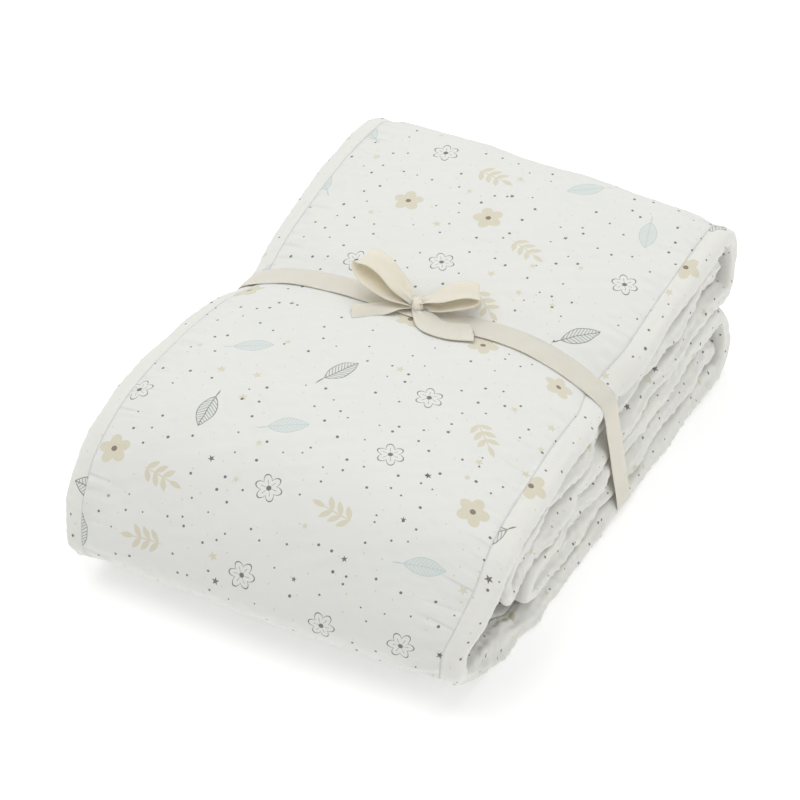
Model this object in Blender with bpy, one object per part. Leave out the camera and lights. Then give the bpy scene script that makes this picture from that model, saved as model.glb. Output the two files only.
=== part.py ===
"""A padded crib bumper, folded into a bundle and tied with a cotton tape.

Metres, +Z up. The bundle lies on Z = 0 with the origin under its middle. X runs across
the bumper's width, -Y is the front, where one big fold wraps the whole bundle, and +Y
is the back, where the smaller folds nest in two humps.

The strip is first worked out as a flat, even stack of layers (the "plan"), and one
function, press(), then gives every piece the real bundle's uneven height and width.
"""

import math

import bmesh
import bpy
import numpy as np

# ---- driving dimensions -----------------------------------------------------------------
WIDTH = 0.298           # across the strip, from one edge roll's outside to the other's
ROLL = 0.0145           # width of the rolled border sewn along each long edge
PITCH = 0.0212          # height of one layer in the even stack
HALF_THICK = 0.0100     # half of the panel's thickness where it is fullest
SEAM_THICK = 0.55       # share of that thickness left at the border's seam
SEAM_GAP = 0.0006       # between the panel and each edge roll
LAYERS = 6
STACK = PITCH * (LAYERS - 1) + 2 * HALF_THICK   # the even stack's height
SETTLE = 0.0009         # the lowest cloth, which the floor presses flat

TAPE_WIDTH = 0.020
TAPE_THICK = 0.0010
TAPE_CLEAR = 0.0010     # between the tape and the cloth that it presses on
TAPE_LIFT = 0.0008      # between the tape and the floor, in the groove it pulls

# The strip's six layers in the order in which the strip runs through them. `layer`
# counts up from the floor, `start` and `end` are the Y of its straight part, `bulge` is
# how far the fold after it stands out, and `slide` is how far it lies off centre in X.
#        layer   start     end    bulge    slide
STRIP = (
    (4, 0.190, -0.132, 0.0170, -0.0012),
    (3, -0.132, 0.186, 0.0175, 0.0010),
    (5, 0.186, -0.146, 0.0685, 0.0000),
    (0, -0.146, 0.176, 0.0180, 0.0000),
    (2, 0.176, -0.098, 0.0170, 0.0012),
    (1, -0.098, 0.180, 0.0000, -0.0014),
)

# Height of the bundle's top along its length: over the middle and at the side edges.
#       y    middle    edge
TOP = (
    (-0.225, 0.084, 0.072),
    (-0.190, 0.104, 0.088),
    (-0.145, 0.117, 0.099),
    (-0.085, 0.122, 0.103),
    (-0.030, 0.123, 0.101),
    (0.015, 0.121, 0.093),
    (0.060, 0.126, 0.105),
    (0.110, 0.130, 0.117),
    (0.165, 0.133, 0.126),
    (0.220, 0.134, 0.127),
)
CROWN = 3.6             # how flat the crown is across the width: higher is flatter

# Width of the bundle along its length as a share of WIDTH, for its top and near the floor,
# and how far its middle lies off centre.
#          y      top    floor     shift
WIDE = (
    (-0.225, 1.032, 0.980, 0.0022),
    (-0.180, 1.048, 0.992, 0.0012),
    (-0.120, 1.040, 1.034, -0.0018),
    (-0.040, 1.010, 1.036, -0.0029),
    (0.015, 0.980, 1.032, -0.0012),
    (0.070, 0.992, 1.030, -0.0023),
    (0.130, 0.998, 1.026, -0.0026),
    (0.225, 0.990, 1.014, -0.0015),
)
LOW_HEIGHT = 0.075      # height from which the width is the top's
TUCK = 0.010            # the layers between the top one and the floor are narrower by this share
TUCK_FROM, TUCK_FULL = 0.12, 0.28       # shares of the height where that starts and is full
TUCK_UNTIL, TUCK_OVER = 0.80, 0.89      # and where it starts to end and has ended

# The front fold is drawn in towards its right end.
DRAW_IN = 0.012         # how far, at the right edge
DRAW_X = (-0.050, 0.155)    # where it starts, and the right edge
DRAW_Y = (-0.146, -0.200)   # from the fold's root to where it is full

# The groove that the tape pulls in the bundle's underside.
GROOVE_Y = 0.020
GROOVE_FLAT = 0.018     # half of its flat part
GROOVE_EDGE = 0.038     # where it has run out
GROOVE_DEPTH = 0.0030
GROOVE_HEIGHT = 0.030   # height at which the layers no longer follow it

ROWS_Y = (-0.145, -0.120, -0.090, -0.060, -0.034, -0.014, 0.004, 0.022, 0.040,
          0.062, 0.090, 0.120, 0.150)      # stations on the straight parts

# Moves every piece so that the origin lies under the middle of the whole bundle.
OFFSET = (0.0010, 0.0057, 0.0)


# ---- the bundle's form -------------------------------------------------------------------
def on_table(at, table, column):
    """A column of a table as a smooth curve through its rows, read at `at`."""
    rows = np.array(table, dtype=float)
    x, v = rows[:, 0], rows[:, column]
    slope = np.gradient(v, x)
    at = np.clip(np.asarray(at, dtype=float), x[0], x[-1])
    i = np.clip(np.searchsorted(x, at, side="right") - 1, 0, len(x) - 2)
    h = x[i + 1] - x[i]
    t = (at - x[i]) / h
    return ((2 * t**3 - 3 * t**2 + 1) * v[i] + (t**3 - 2 * t**2 + t) * h * slope[i]
            + (3 * t**2 - 2 * t**3) * v[i + 1] + (t**3 - t**2) * h * slope[i + 1])


def smooth_step(t):
    t = np.clip(t, 0.0, 1.0)
    return t * t * (3 - 2 * t)


def top_height(x, y):
    """Height of the bundle's top over the point (x, y)."""
    middle, edge = on_table(y, TOP, 1), on_table(y, TOP, 2)
    across = np.clip(np.abs(x) / (WIDTH / 2), 0.0, 1.0)
    return edge + (middle - edge) * (1.0 - across**CROWN)


def press(x, y, z):
    """Take a point of the even stack to its place in the real bundle."""
    x, y, z = (np.asarray(v, dtype=float) for v in (x, y, z))
    high = np.maximum(z * top_height(x, y) / STACK - SETTLE, 0.0)
    share = high / top_height(x, y)
    wide, wide_low = on_table(y, WIDE, 1), on_table(y, WIDE, 2)
    wide = wide_low + (wide - wide_low) * smooth_step(high / LOW_HEIGHT)
    wide = wide - TUCK * (smooth_step((share - TUCK_FROM) / (TUCK_FULL - TUCK_FROM))
                          * smooth_step((TUCK_OVER - share) / (TUCK_OVER - TUCK_UNTIL)))
    groove = 1.0 - smooth_step((np.abs(y - GROOVE_Y) - GROOVE_FLAT)
                               / (GROOVE_EDGE - GROOVE_FLAT))
    fade = np.clip(1.0 - high / GROOVE_HEIGHT, 0.0, 1.0)
    right = np.clip((x - DRAW_X[0]) / (DRAW_X[1] - DRAW_X[0]), 0.0, 1.0)
    front = smooth_step((y - DRAW_Y[0]) / (DRAW_Y[1] - DRAW_Y[0]))
    return np.stack([x * wide + on_table(y, WIDE, 3), y + DRAW_IN * right**2 * front,
                     high + GROOVE_DEPTH * groove * fade], axis=-1)


# ---- the strip's path --------------------------------------------------------------------
def straight_rows(start, end):
    """Y of the stations of one layer's straight part, in the strip's direction."""
    low, high = min(start, end), max(start, end)
    inside = [y for y in ROWS_Y if low + 0.008 < y < high - 0.008]
    rows = [low] + inside + [high]
    return rows if start < end else rows[::-1]


def layer_height(layer):
    """Height of a layer's middle in the even stack."""
    return layer * PITCH + HALF_THICK


def strip_path():
    """Stations along the strip: centre (y, z), half thickness as a vector, and slide.

    The half-thickness vector points to the cloth's face, the side that shows on the
    outside of the bundle. Each fold is a half ellipse between two layers; its inner
    and outer surfaces are two ellipses, so a tight fold never runs into itself.
    """
    stations = []
    face = 1.0                                   # the strip starts with its face up
    for row, after in zip(STRIP, STRIP[1:] + (None,)):
        layer, start, end, bulge, slide = row
        z = layer_height(layer)
        for y in straight_rows(start, end):
            stations.append(((y, z), (0.0, face * HALF_THICK), slide))
        if after is None:
            break
        z_after = layer_height(after[0])
        radius = abs(z_after - z) / 2
        outward = 1.0 if end > start else -1.0
        turn = math.copysign(1.0, z_after - z)
        face_out = face * turn < 0               # does the face lie outside the fold?
        inner = (max(bulge - HALF_THICK, 0.28 * bulge), radius - HALF_THICK)
        outer = (bulge + HALF_THICK, radius + HALF_THICK)
        steps = 6 if radius < 0.75 * PITCH else (9 if radius < 2 * PITCH else 14)
        for k in range(1, steps):
            angle = math.pi * k / steps
            reach, rise = math.sin(angle), -turn * math.cos(angle)
            middle = (z + z_after) / 2
            near = np.array([end + outward * inner[0] * reach, middle + inner[1] * rise])
            far = np.array([end + outward * outer[0] * reach, middle + outer[1] * rise])
            if not face_out:
                near, far = far, near
            part = k / steps
            stations.append((tuple((near + far) / 2), tuple((far - near) / 2),
                             slide * (1 - part) + after[4] * part))
        face = -face
    return stations


def sweep(name, section, stations):
    """Carry a closed section (x, share of half thickness) along the strip's path.

    The strip's two free ends are thinned and closed.
    """
    last = len(stations) - 1
    points = []
    for n, (centre, half, slide) in enumerate(stations):
        thin = 0.62 if n in (0, last) else 1.0
        x = np.array([p[0] for p in section]) + slide
        t = np.array([p[1] for p in section]) * thin
        points.append(press(x, centre[0] + t * half[0], centre[1] + t * half[1]))
    count = len(section)
    mesh = bmesh.new()
    rings = [[mesh.verts.new(p) for p in ring] for ring in points]
    for a, b in zip(rings, rings[1:]):
        for k in range(count):
            m = (k + 1) % count
            mesh.faces.new((a[k], a[m], b[m], b[k]))
    for ring, flip in ((rings[0], True), (rings[-1], False)):
        for k in range(1, count // 2):
            quad = [ring[k - 1], ring[k], ring[count - 1 - k], ring[count - k]]
            quad = list(dict.fromkeys(quad))
            mesh.faces.new(quad[::-1] if flip else quad)
        if count % 2:
            tip = ring[count // 2 - 1:count // 2 + 2]
            mesh.faces.new(tip[::-1] if flip else tip)
    return solid(name, mesh)


def solid(name, mesh):
    """Turn a bmesh into a named object, split into triangles, with its faces outward."""
    bmesh.ops.triangulate(mesh, faces=mesh.faces[:])
    bmesh.ops.recalc_face_normals(mesh, faces=mesh.faces[:])
    if mesh.calc_volume(signed=True) < 0:
        bmesh.ops.reverse_faces(mesh, faces=mesh.faces[:])
    data = bpy.data.meshes.new(name)
    mesh.to_mesh(data)
    mesh.free()
    obj = bpy.data.objects.new(name, data)
    obj.location = OFFSET
    bpy.context.scene.collection.objects.link(obj)
    data.shade_smooth()
    return obj


# The upper half of an edge roll's section, from its seam outwards.
#  share of ROLL, share of the thickness
ROLL_FORM = (
    (0.00, 0.55),
    (0.26, 0.92),
    (0.60, 0.96),
    (0.86, 0.64),
)


def panel_section():
    """Half of the panel's width: full in the middle and drawn in at the two seams."""
    seam = WIDTH / 2 - ROLL - SEAM_GAP / 2
    #        share of the way to the seam, share of the thickness
    upper = ((-1.0, SEAM_THICK), (-0.88, 0.93), (-0.45, 1.0), (0.0, 1.0),
             (0.45, 1.0), (0.88, 0.93), (1.0, SEAM_THICK))
    ring = [(x * seam, t) for x, t in upper]
    return ring + [(x, -t) for x, t in ring[::-1]]


def roll_section(side):
    """The puffy edge roll on one side: flat against the seam, round on the outside."""
    inside = WIDTH / 2 - ROLL + SEAM_GAP / 2
    ring = [(side * (inside + d * ROLL), t) for d, t in ROLL_FORM]
    ring.append((side * WIDTH / 2, 0.0))
    return ring + [(x, -t) for x, t in ring[-2::-1]]


# ---- the tape ----------------------------------------------------------------------------
def ribbon(name, path, across, width=TAPE_WIDTH, thick=TAPE_THICK, closed=False):
    """A flat tape along a path; `across` is the direction of its width at each point."""
    path, across = np.asarray(path, float), np.asarray(across, float)
    if closed:
        along = np.roll(path, -1, axis=0) - np.roll(path, 1, axis=0)
    else:
        along = np.gradient(path, axis=0)
    along /= np.linalg.norm(along, axis=1, keepdims=True)
    across = across - along * np.sum(across * along, axis=1, keepdims=True)
    across /= np.linalg.norm(across, axis=1, keepdims=True)
    up = np.cross(along, across)
    width = np.broadcast_to(width, len(path))
    mesh = bmesh.new()
    rings = []
    for p, w, u, span in zip(path, across, up, width):
        corners = ((1, 1), (-1, 1), (-1, -1), (1, -1))
        rings.append([mesh.verts.new(p + w * a * span / 2 + u * b * thick / 2)
                      for a, b in corners])
    pairs = list(zip(rings, rings[1:])) + ([(rings[-1], rings[0])] if closed else [])
    for a, b in pairs:
        for k in range(4):
            m = (k + 1) % 4
            mesh.faces.new((a[k], a[m], b[m], b[k]))
    if not closed:
        mesh.faces.new(rings[0][::-1])
        mesh.faces.new(rings[-1])
    return solid(name, mesh)


def smooth_line(knots, count):
    """A smooth curve (Catmull-Rom) through the rows of `knots`, as `count` points."""
    k = np.asarray(knots, float)
    k = np.vstack([2 * k[0] - k[1], k, 2 * k[-1] - k[-2]])
    t = np.linspace(0, len(k) - 3, count)
    i = np.minimum(t.astype(int), len(k) - 4)
    f = (t - i)[:, None]
    p0, p1, p2, p3 = k[i], k[i + 1], k[i + 2], k[i + 3]
    return 0.5 * (2 * p1 + (p2 - p0) * f + (2 * p0 - 5 * p1 + 4 * p2 - p3) * f**2
                  + (3 * p1 - p0 - 3 * p2 + p3) * f**3)


def cloth_top(x, y):
    """Height of the top layer's upper face over a point of the real bundle."""
    plan = abs((x - float(on_table(y, WIDE, 3))) / float(on_table(y, WIDE, 1)))
    seam = WIDTH / 2 - ROLL
    if plan < seam:
        share = np.interp(plan / seam, (0, 0.45, 0.88, 1.0), (1.0, 1.0, 0.93, SEAM_THICK))
    else:
        out, form = zip(*ROLL_FORM, (1.0, 0.0))
        share = np.interp((plan - seam) / ROLL, out, form)
    z = layer_height(LAYERS - 1) + share * HALF_THICK
    return float(press(plan, y, z)[2])


# Y of the tape as it goes round: on top, at the bundle's left edge and along the floor.
TAPE_Y, TAPE_Y_LEFT, TAPE_Y_FLOOR = 0.0150, 0.0145, 0.0205
SHOULDER_X = 0.1418     # where the tape leaves the top for the side
KNOT_X = -0.008
KNOT_RADII = (0.0062, 0.0085, 0.0047)
KNOT_HEIGHT = 0.0055    # of its middle over the cloth

# The tape's way down a side: shares of the side's X and of the shoulder's height.
#        x      height
SIDE = (
    (0.996, 0.955),
    (1.004, 0.880),
    (1.014, 0.720),
    (1.028, 0.520),
    (1.043, 0.320),
    (1.051, 0.170),
    (1.050, 0.090),
    (1.036, 0.036),
    (0.998, 0.0175),
)

# The bow's loops and tails, from the knot's middle, for the left side and the right.
# Each loop stands in an upright plane that is turned by `yaw` from the X axis.
#              out      up
LEFT_LOOP = (
    (0.0015, 0.0015),
    (0.0110, 0.0090),
    (0.0170, 0.0160),
    (0.0240, 0.0230),
    (0.0330, 0.0268),
    (0.0405, 0.0260),
    (0.0440, 0.0210),
    (0.0415, 0.0160),
    (0.0350, 0.0122),
    (0.0200, 0.0064),
    (0.0015, -0.0014),
)
LEFT_YAW = 5.0
RIGHT_LOOP = (
    (0.0015, 0.0015),
    (0.0130, 0.0093),
    (0.0240, 0.0150),
    (0.0350, 0.0178),
    (0.0430, 0.0166),
    (0.0455, 0.0135),
    (0.0420, 0.0100),
    (0.0325, 0.0064),
    (0.0190, 0.0028),
    (0.0015, -0.0014),
)
RIGHT_YAW = 25.0
#                x        y        z
LEFT_TAIL = (
    (-0.0010, -0.0010, -0.0006),
    (-0.0070, -0.0040, -0.0020),
    (-0.0140, -0.0080, -0.0030),
    (-0.0240, -0.0155, -0.0036),
    (-0.0330, -0.0230, -0.0034),
)
RIGHT_TAIL = (
    (0.0010, -0.0010, -0.0006),
    (0.0100, -0.0060, -0.0014),
    (0.0210, -0.0090, -0.0018),
    (0.0370, -0.0085, -0.0020),
    (0.0490, -0.0045, -0.0024),
)
GATHERED = 0.50         # share of the tape's width where the knot grips it
GATHER_LENGTH = 0.016   # over which it opens out again


def tape_y(x):
    """Y of the tape on top of the bundle."""
    left = smooth_step((-x / (WIDTH / 2) - 0.55) / 0.45)
    return TAPE_Y + (TAPE_Y_LEFT - TAPE_Y) * left


def tape_loop():
    """Points round the bundle: over the top, down the right side and back underneath."""
    clear = TAPE_CLEAR + TAPE_THICK / 2

    def top(x):
        y = float(tape_y(x))
        near = [cloth_top(x + dx, y + dy) for dy in (-TAPE_WIDTH / 2, 0, TAPE_WIDTH / 2)
                for dx in (-0.004, 0, 0.004)]
        return (x, y, max(near) + clear)

    def side(sign):
        y0 = float(tape_y(sign * WIDTH / 2))
        wide = float(on_table(y0, WIDE, 1)) * WIDTH / 2 + 0.0034
        shoulder = top(sign * SHOULDER_X)[2]
        return [(sign * wide * w + float(on_table(y0, WIDE, 3)),
                 y0 + (TAPE_Y_FLOOR - y0) * (1 - h), shoulder * h) for w, h in SIDE]

    xs = np.append(np.linspace(0, 0.129, 13), (0.1335, 0.1378, SHOULDER_X))
    right = [top(x) for x in xs]
    left = [top(-x) for x in xs[1:]]
    under = [(x, TAPE_Y_FLOOR, TAPE_LIFT + TAPE_THICK / 2)
             for x in np.linspace(0.130, -0.130, 7)]
    return np.array(right + side(1) + under + side(-1)[::-1] + left[::-1])


def gathered(line):
    """Width of the tape along a line that starts in the knot."""
    run = np.linalg.norm(line - line[0], axis=1)
    share = GATHERED + (1 - GATHERED) * smooth_step(run / GATHER_LENGTH)
    return TAPE_WIDTH * share


def bow(knot):
    """Guides for the two loops and the two tails, all starting inside the knot."""
    parts = []
    for name, table, side, yaw in (("left", LEFT_LOOP, -1, LEFT_YAW),
                                   ("right", RIGHT_LOOP, 1, RIGHT_YAW)):
        turn = math.radians(yaw)
        out = np.array((side * math.cos(turn), math.sin(turn), 0.0))
        width = np.array((-side * math.sin(turn), math.cos(turn), 0.0))
        line = smooth_line([knot + out * a + np.array((0, 0, b)) for a, b in table], 26)
        parts.append(ribbon("guide_loop_" + name, line, np.tile(width, (len(line), 1)),
                            width=gathered(line)))
    for name, table in (("left", LEFT_TAIL), ("right", RIGHT_TAIL)):
        line = smooth_line(knot + np.array(table), 10)
        along = np.gradient(line, axis=0)
        width = np.stack([-along[:, 1], along[:, 0], np.zeros(len(line))], axis=1)
        parts.append(ribbon("guide_tail_" + name, line, width, width=gathered(line)))
    return parts


def tie_tape():
    """One tape: the band round the bundle, joined in the knot to its loops and tails."""
    path = tape_loop()
    band = ribbon("tie_tape", path, np.tile((0.0, 1.0, 0.0), (len(path), 1)), closed=True)
    y = float(tape_y(KNOT_X))
    knot = np.array([KNOT_X, y, cloth_top(KNOT_X, y) + KNOT_HEIGHT])

    lump = bmesh.new()
    bmesh.ops.create_uvsphere(lump, u_segments=12, v_segments=8, radius=1.0)
    for v in lump.verts:
        v.co = [c + p * r for c, p, r in zip(knot, v.co, KNOT_RADII)]
    for n, guide in enumerate([solid("guide_knot", lump)] + bow(knot)):
        guide.hide_render = True
        guide.display_type = "WIRE"
        join = band.modifiers.new("join_%d" % n, "BOOLEAN")
        join.operation, join.object = "UNION", guide
    return band


# ---- materials and assembly --------------------------------------------------------------
def paint(obj, name, colour, roughness):
    material = bpy.data.materials.new(name)
    material.use_nodes = True
    shader = material.node_tree.nodes["Principled BSDF"]
    shader.inputs["Base Color"].default_value = (*colour, 1.0)
    shader.inputs["Roughness"].default_value = roughness
    shader.inputs["Metallic"].default_value = 0.0
    obj.data.materials.append(material)


def build():
    for old in list(bpy.data.objects):
        bpy.data.objects.remove(old, do_unlink=True)
    stations = strip_path()
    paint(sweep("bumper_panel", panel_section(), stations), "printed_cotton",
          (0.83, 0.82, 0.79), 0.85)
    paint(sweep("edge_roll_left", roll_section(-1), stations), "roll_cotton_left",
          (0.83, 0.82, 0.79), 0.85)
    paint(sweep("edge_roll_right", roll_section(1), stations), "roll_cotton_right",
          (0.83, 0.82, 0.79), 0.85)
    paint(tie_tape(), "natural_tape", (0.78, 0.73, 0.63), 0.9)


build()
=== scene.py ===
# %% [markdown]
# # A padded crib bumper, folded and tied
#
# A long padded strip of printed cotton is folded into six layers and held by a cotton
# tape. The whole object follows from three ideas, and each has its own cells below:
#
# 1. The strip is laid out as a flat, even stack of layers: a *path* of stations.
# 2. One function, `press()`, takes every point of that stack to its place in the real,
#    uneven bundle, so neighbours stay neighbours and don't run into each other.
# 3. Relief (puckers, pleats, soft lumps) is added along the cloth's own normal before
#    the pressing, in the cloth's own coordinates.
#
# The tape is then drawn round the finished cloth as the outline of its cross-section.
# Metres, +Z up, the same frame as the solids.

import math

import bpy
import numpy as np
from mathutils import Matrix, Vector


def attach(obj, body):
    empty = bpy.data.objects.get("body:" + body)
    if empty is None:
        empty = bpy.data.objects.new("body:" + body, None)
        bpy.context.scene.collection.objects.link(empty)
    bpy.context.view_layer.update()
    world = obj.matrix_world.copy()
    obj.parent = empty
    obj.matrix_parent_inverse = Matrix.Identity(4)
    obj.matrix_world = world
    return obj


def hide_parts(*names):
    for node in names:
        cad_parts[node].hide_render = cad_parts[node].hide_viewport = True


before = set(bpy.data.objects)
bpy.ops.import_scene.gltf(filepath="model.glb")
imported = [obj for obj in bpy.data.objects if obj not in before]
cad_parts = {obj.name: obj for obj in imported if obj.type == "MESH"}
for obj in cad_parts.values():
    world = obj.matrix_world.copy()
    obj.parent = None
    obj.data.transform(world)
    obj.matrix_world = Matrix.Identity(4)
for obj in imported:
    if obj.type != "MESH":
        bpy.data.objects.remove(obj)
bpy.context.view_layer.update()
print("solids:", ", ".join(sorted(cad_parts)))

# %% [markdown]
# ## The driving sizes
# The strip is a soft panel between two edge rolls, each sewn on along a seam. These are
# the solids' own sizes, apart from the seam, which real cloth closes.

# %% Sizes
WIDTH = 0.298           # across the strip, from one edge roll's outside to the other's
ROLL = 0.0145           # width of the rolled border sewn along each long edge
SEAM = WIDTH / 2 - ROLL     # the seam's distance from the strip's middle
SEAM_GAP = 0.00003      # between the panel and each edge roll
SEAM_THICK = 0.90       # share of the thickness left at the seam
HALF_THICK = 0.0100     # half of the panel's thickness where it is fullest
LAYERS = 6
PITCH = 0.0212          # height of one layer in the even stack
STACK = PITCH * (LAYERS - 1) + 2 * HALF_THICK
OFFSET = np.array((0.0010, 0.0057, 0.0))    # puts the origin under the bundle's middle
print(f"{LAYERS} layers in a stack {STACK * 1000:.0f} mm high, seams {SEAM * 1000:.1f} mm out")

# %% [markdown]
# ## Curves and random relief
# Soft cloth has no hard steps, so every change is eased, and each table of measured
# places is read as a smooth curve. The filling's unevenness and the creases are sums of a
# few cosines: smooth at every scale and, as each has its own seed, the same on every run.

# %% Curves
def ease(value, start, end):
    """0 up to start, 1 from end on, and 3t^2 - 2t^3 between; t is the share of the way."""
    t = np.clip((value - start) / (end - start), 0.0, 1.0)
    return t * t * (3 - 2 * t)


def on_table(at, table, column):
    """A table's column as a cubic Hermite curve: slopes are central differences."""
    rows = np.array(table, dtype=float)
    x, v = rows[:, 0], rows[:, column]
    slope = np.gradient(v, x)
    at = np.clip(np.asarray(at, dtype=float), x[0], x[-1])
    i = np.clip(np.searchsorted(x, at, side="right") - 1, 0, len(x) - 2)
    h = x[i + 1] - x[i]
    t = (at - x[i]) / h
    return ((2 * t**3 - 3 * t**2 + 1) * v[i] + (t**3 - 2 * t**2 + t) * h * slope[i]
            + (3 * t**2 - 2 * t**3) * v[i + 1] + (t**3 - t**2) * h * slope[i + 1])


def waves(a, b, long_a, long_b, seed, count=28):
    """Smooth random relief with a mean square of one.

    The sum of `count` cosines of random phase, each with its own wave lengths along a
    and b, drawn evenly from their ranges on a log scale, times sqrt(2 / count).
    """
    rng = np.random.default_rng(seed)
    total = np.zeros(np.broadcast(a, b).shape)
    for _ in range(count):
        la, lb = (math.exp(rng.uniform(math.log(r[0]), math.log(r[1]))) for r in (long_a, long_b))
        sign, phase = rng.choice((-1.0, 1.0)), rng.uniform(0, 2 * math.pi)
        total += np.cos(2 * math.pi * (a / la + sign * b / lb) + phase)
    return total * math.sqrt(2.0 / count)


def run_along(line):
    """Running length of a line: the sum of the distances between its points so far."""
    return np.concatenate([[0.0], np.cumsum(np.linalg.norm(np.diff(line, axis=0), axis=1))])


def unit(v):
    """Vectors divided by their length."""
    return v / np.linalg.norm(v, axis=-1, keepdims=True)


def round_ring(ring):
    """Directions along a closed line: from the point before each one to the point after."""
    return unit(np.roll(ring, -1, axis=0) - np.roll(ring, 1, axis=0))


print("ease() a quarter of the way:", round(float(ease(0.25, 0.0, 1.0)), 3))

# %% [markdown]
# ## The top
# The bundle is high at the back, where the folds are, and falls away to the front. It is
# crowned from side to side, and the tape draws a dip into it that is deeper at the edges.
# Two columns of heights give that shape; they were read from the photograph.

# %% Top
#       y    middle    edge
TOP = (
    (-0.225, 0.084, 0.072),
    (-0.190, 0.104, 0.088),
    (-0.145, 0.117, 0.099),
    (-0.085, 0.122, 0.103),
    (-0.030, 0.123, 0.101),
    (0.015, 0.121, 0.093),
    (0.060, 0.126, 0.105),
    (0.110, 0.130, 0.117),
    (0.165, 0.133, 0.126),
    (0.220, 0.134, 0.127),
)
CROWN = 3.6             # how flat the crown is across the width: higher is flatter
DIP_REACH = 0.060       # the dip follows the tape up to this far from it

# The tape's y in the middle of the top, at its left and right ends, and at the floor.
TAPE_Y, TAPE_Y_LEFT, TAPE_Y_RIGHT, TAPE_Y_FLOOR = 0.0150, 0.0145, 0.0210, 0.0205
LEFT_BEND = 0.55        # share of the half width where its left part starts to turn
RIGHT_BEND = 0.075      # distance from the middle where its right part has turned


def tape_y(x):
    """Y of the tape on top: its middle's value, eased to each end's value."""
    left = ease(-x / (WIDTH / 2), LEFT_BEND, 1.0)
    right = ease(x, 0.0, RIGHT_BEND)
    return TAPE_Y + (TAPE_Y_LEFT - TAPE_Y) * left + (TAPE_Y_RIGHT - TAPE_Y) * right


def top_height(x, y):
    """The top's height: edge plus (middle - edge) times 1 - |x / half width|^CROWN.

    Near the tape the table is read from the tape's own y, so the dip lies under it.
    """
    y = y - (tape_y(x) - TAPE_Y) * (1.0 - ease(np.abs(y - TAPE_Y), 0.0, DIP_REACH))
    middle, edge = on_table(y, TOP, 1), on_table(y, TOP, 2)
    across = np.clip(np.abs(x) / (WIDTH / 2), 0.0, 1.0)
    return edge + (middle - edge) * (1.0 - across**CROWN)


print(f"top: {top_height(0.0, TAPE_Y) * 1000:.0f} mm high at the tape's middle")

# %% [markdown]
# ## The sides
# A soft stack isn't a box: it spreads towards the floor at the front, and the layers in
# the middle stand back a little. The width is a share of the strip's own, from a table.

# %% Sides
#          y      top    floor    shift of the middle
WIDE = (
    (-0.225, 1.032, 0.952, 0.0026),
    (-0.180, 1.048, 0.976, 0.0014),
    (-0.120, 1.040, 1.034, -0.0018),
    (-0.040, 1.010, 1.036, -0.0029),
    (0.015, 0.980, 1.032, -0.0012),
    (0.070, 0.992, 1.030, -0.0023),
    (0.130, 0.998, 1.026, -0.0026),
    (0.225, 0.978, 1.008, 0.0006),
)
LOW_HEIGHT = 0.075      # the floor's share is eased into the top's up to here
TUCK = 0.010            # the layers between the top one and the floor are narrower by this share
TUCK_LOW, TUCK_HIGH = (0.12, 0.28), (0.89, 0.80)    # shares of the height where that sets in


def width_share(y, high, share):
    """The table's share, eased from floor to top, less TUCK between the two."""
    floor_share = on_table(y, WIDE, 2)
    wide = floor_share + (on_table(y, WIDE, 1) - floor_share) * ease(high, 0.0, LOW_HEIGHT)
    return wide - TUCK * (ease(share, *TUCK_LOW) * ease(share, *TUCK_HIGH))


print(f"widest place: {WIDTH * max(row[1] for row in WIDE) * 1000:.0f} mm")

# %% [markdown]
# ## From the even stack to the real bundle
# Folding real cloth in a computer is slow and hard to steer. Here an even stack is simply
# reshaped: `press()` scales its height and width to the real ones and adds what the tape,
# the floor and the folding did. It only slides points smoothly, so layers that are apart
# in the stack stay apart in the bundle.

# %% Pressing
SETTLE = 0.0009         # the lowest cloth, which the floor presses flat
SINK = 0.0016           # how deep the tape presses into the top
SINK_FLAT, SINK_EDGE = 0.0115, 0.026        # half widths of that hollow's floor and rim
GROOVE_Y, GROOVE_FLAT, GROOVE_EDGE = 0.020, 0.018, 0.038    # the tape's groove below
GROOVE_DEPTH, GROOVE_HEIGHT = 0.0030, 0.030
PINCH, PINCH_FLAT, PINCH_EDGE = 0.0070, 0.004, 0.040    # the tape draws the right edge in
PINCH_HIGH, PINCH_X = 0.9, (0.060, 0.145)   # it is full at this share of the height, and x
DRAW_IN = 0.012         # the front fold is drawn in by this at its right end
DRAW_X, DRAW_Y = (-0.050, 0.155), (-0.146, -0.200)
LOW_CORNER = 0.0062     # how far the front fold's left end is drawn in near the floor
CORNER_X, CORNER_Y, CORNER_HIGH = (-0.050, -0.140), (-0.140, -0.210), 0.060
SLIP, SLIP_WAVES = 0.0016, ((0.07, 0.25), (0.035, 0.09))    # layers slip sideways at their edges
SAG, SAG_WAVES = 0.0014, ((0.06, 0.25), (0.3, 0.9))         # and rise and sink there
SLIP_X, SLIP_CALM, SLIP_COUNT = (0.085, 0.150), 0.8, 16     # less by SLIP_CALM under the tape


def under_tape(distance):
    """1 under the tape, eased to 0 between SINK_FLAT and SINK_EDGE from its middle line."""
    return 1.0 - ease(distance, SINK_FLAT, SINK_EDGE)


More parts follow.
